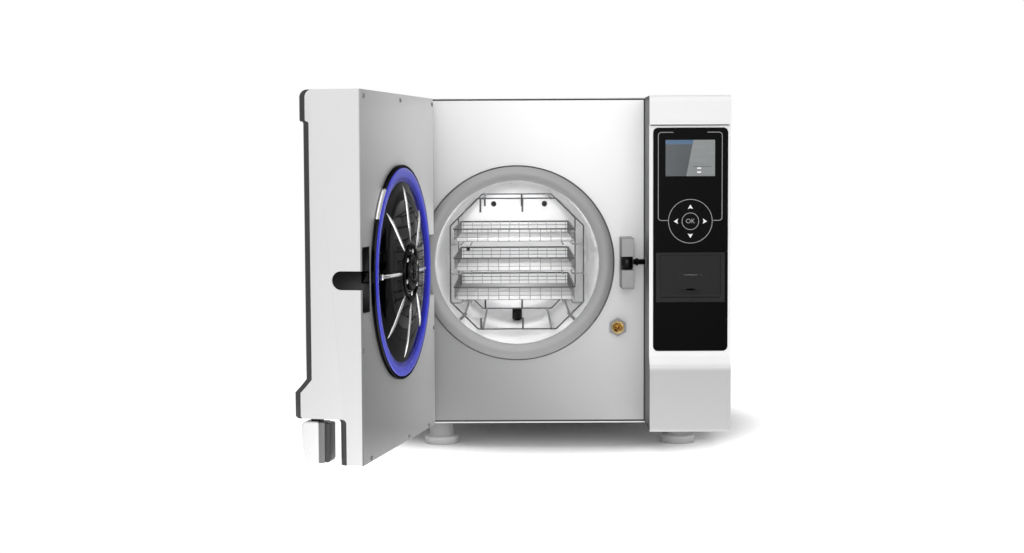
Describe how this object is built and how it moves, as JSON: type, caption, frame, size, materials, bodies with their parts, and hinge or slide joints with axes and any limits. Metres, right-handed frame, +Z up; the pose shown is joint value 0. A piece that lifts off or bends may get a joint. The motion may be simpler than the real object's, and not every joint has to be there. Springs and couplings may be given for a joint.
{
  "type": "autoclave",
  "caption": "Bench-top steam autoclave with an open round chamber, wire rack with mesh trays, swing door with pressure lid and latch, and a column with display, keys and printer.",
  "frame": {"origin": "on the bench, midway between the four levelling feet", "axes": "+Z up, -Y towards the user through the chamber mouth, +X to the user's right"},
  "size_m": [0.6011, 0.9847, 0.5353],
  "materials": {
    "white_enamel": "satin",
    "grey_steel_sheet": "satin",
    "polished_steel": "polished",
    "satin_steel": "satin",
    "mirror_steel": "mirror",
    "dark_steel": "oiled",
    "foot_plastic": "matte",
    "handle_plastic": "satin",
    "panel_black": "gloss",
    "printer_black": "satin",
    "key_black": "satin",
    "display_glass": "gloss",
    "paper": "matte",
    "gasket_blue": "satin",
    "nut_steel": "polished",
    "tank_plastic": "translucent",
    "heater_rubber": "matte",
    "insulation": "matte",
    "pump_aluminium": "satin",
    "valve_brass": "satin",
    "board_green": "satin",
    "black_plastic": "satin"
  },
  "bodies": {
    "cabinet": {"housing_cover": "white_enamel", "base_plate": "grey_steel_sheet", "rear_panel": "grey_steel_sheet", "front_panel": "white_enamel", "levelling_feet": "foot_plastic", "pressure_chamber": "polished_steel", "chamber_flange": "satin_steel", "heater_bands": "heater_rubber", "insulation_jacket": "insulation", "inner_supports": "grey_steel_sheet", "drain_strainer": "polished_steel", "column_shell": "white_enamel", "control_panel": "panel_black", "display_module": "display_glass", "printer_housing": "printer_black", "hinge_block": "satin_steel", "hinge_pin": "satin_steel", "latch_block": "satin_steel", "lock_actuator": "black_plastic", "drain_nut": "nut_steel", "drain_fitting": "satin_steel", "clean_water_tank": "tank_plastic", "waste_water_tank": "tank_plastic", "steam_generator": "pump_aluminium", "vacuum_pump": "pump_aluminium", "water_pump": "pump_aluminium", "valve_manifold": "valve_brass", "condenser": "pump_aluminium", "fan_housing": "printer_black", "control_electronics": "board_green", "power_inlet": "black_plastic", "safety_valve": "valve_brass", "chamber_pipework": "valve_brass"},
    "door": {"door_cover": "white_enamel", "door_inner_panel": "grey_steel_sheet", "latch_pocket": "black_plastic", "door_beam": "grey_steel_sheet", "pressure_lid": "mirror_steel", "lid_gasket": "gasket_blue", "lid_hub": "mirror_steel", "handle_bracket": "grey_steel_sheet", "door_screws": "satin_steel"},
    "latch_hook": {"latch_hook": "satin_steel"},
    "door_handle": {"door_handle": "handle_plastic"},
    "latch_roller": {"latch_roller": "dark_steel"},
    "lock_bolt": {"lock_bolt": "dark_steel"},
    "ok_key": {"ok_key": "key_black"},
    "up_key": {"up_key": "key_black"},
    "down_key": {"down_key": "key_black"},
    "left_key": {"left_key": "key_black"},
    "right_key": {"right_key": "key_black"},
    "printer_flap": {"printer_flap": "printer_black"},
    "paper_roll": {"paper_roll": "paper"},
    "rack_frame": {"rack_frame": "polished_steel"},
    "tray_1": {"tray_1": "polished_steel"},
    "tray_2": {"tray_2": "polished_steel"},
    "tray_3": {"tray_3": "polished_steel"},
    "tank_lid": {"tank_lid": "handle_plastic"},
    "fan_rotor": {"fan_rotor": "printer_black"},
    "power_switch": {"power_switch": "black_plastic"}
  },
  "joints": [
    {"name": "door_swing", "type": "hinge", "parent": "cabinet", "child": "door", "pos_m": [-0.2264, -0.33175, 0.281], "axis": [0, 0, 1], "range_deg": [-6, 101.55]},
    {"name": "handle_pull", "type": "hinge", "parent": "door", "child": "door_handle", "pos_m": [-0.32625, -0.65429, 0.112], "axis": [-0.2002, -0.9798, 0], "range_deg": [-12, 0], "stiffness_Nm_per_rad": 0.4},
    {"name": "hook_slide", "type": "slide", "parent": "door", "child": "latch_hook", "axis": [-0.2002, -0.9798, 0], "range_m": [0, 0.016]},
    {"name": "roller_spin", "type": "hinge", "parent": "cabinet", "child": "latch_roller", "pos_m": [0.098, -0.319, 0.283], "axis": [0, 0, 1], "continuous": true},
    {"name": "bolt_slide", "type": "slide", "parent": "cabinet", "child": "lock_bolt", "axis": [1, 0, 0], "range_m": [0, 0.01]},
    {"name": "flap_swing", "type": "hinge", "parent": "cabinet", "child": "printer_flap", "pos_m": [0.1868, -0.3737, 0.2375], "axis": [1, 0, 0], "range_deg": [0, 95]},
    {"name": "paper_roll_spin", "type": "hinge", "parent": "cabinet", "child": "paper_roll", "pos_m": [0.1868, -0.3545, 0.265], "axis": [1, 0, 0], "continuous": true},
    {"name": "rack_slide", "type": "slide", "parent": "cabinet", "child": "rack_frame", "axis": [0, 1, 0], "range_m": [-0.3, 0]},
    {"name": "tank_lid_swing", "type": "hinge", "parent": "cabinet", "child": "tank_lid", "pos_m": [-0.125, 0.208, 0.5313], "axis": [1, 0, 0], "range_deg": [-100, 0]},
    {"name": "fan_spin", "type": "hinge", "parent": "cabinet", "child": "fan_rotor", "pos_m": [0.161, 0.2705, 0.341], "axis": [0, 1, 0], "continuous": true},
    {"name": "power_switch_tilt", "type": "hinge", "parent": "cabinet", "child": "power_switch", "pos_m": [0.161, 0.283, 0.131], "axis": [0, 0, 1], "range_deg": [-7, 0]},
    {"name": "tray_1_slide", "type": "slide", "parent": "rack_frame", "child": "tray_1", "axis": [0, 1, 0], "range_m": [-0.2, 0]},
    {"name": "tray_2_slide", "type": "slide", "parent": "rack_frame", "child": "tray_2", "axis": [0, 1, 0], "range_m": [-0.2, 0]},
    {"name": "tray_3_slide", "type": "slide", "parent": "rack_frame", "child": "tray_3", "axis": [0, 1, 0], "range_m": [-0.2, 0]},
    {"name": "ok_key_press", "type": "slide", "parent": "cabinet", "child": "ok_key", "axis": [0, 1, 0], "range_m": [0, 0.0006], "stiffness_N_per_m": 1200},
    {"name": "up_key_press", "type": "slide", "parent": "cabinet", "child": "up_key", "axis": [0, 1, 0], "range_m": [0, 0.0006], "stiffness_N_per_m": 1200},
    {"name": "down_key_press", "type": "slide", "parent": "cabinet", "child": "down_key", "axis": [0, 1, 0], "range_m": [0, 0.0006], "stiffness_N_per_m": 1200},
    {"name": "left_key_press", "type": "slide", "parent": "cabinet", "child": "left_key", "axis": [0, 1, 0], "range_m": [0, 0.0006], "stiffness_N_per_m": 1200},
    {"name": "right_key_press", "type": "slide", "parent": "cabinet", "child": "right_key", "axis": [0, 1, 0], "range_m": [0, 0.0006], "stiffness_N_per_m": 1200}
  ]
}
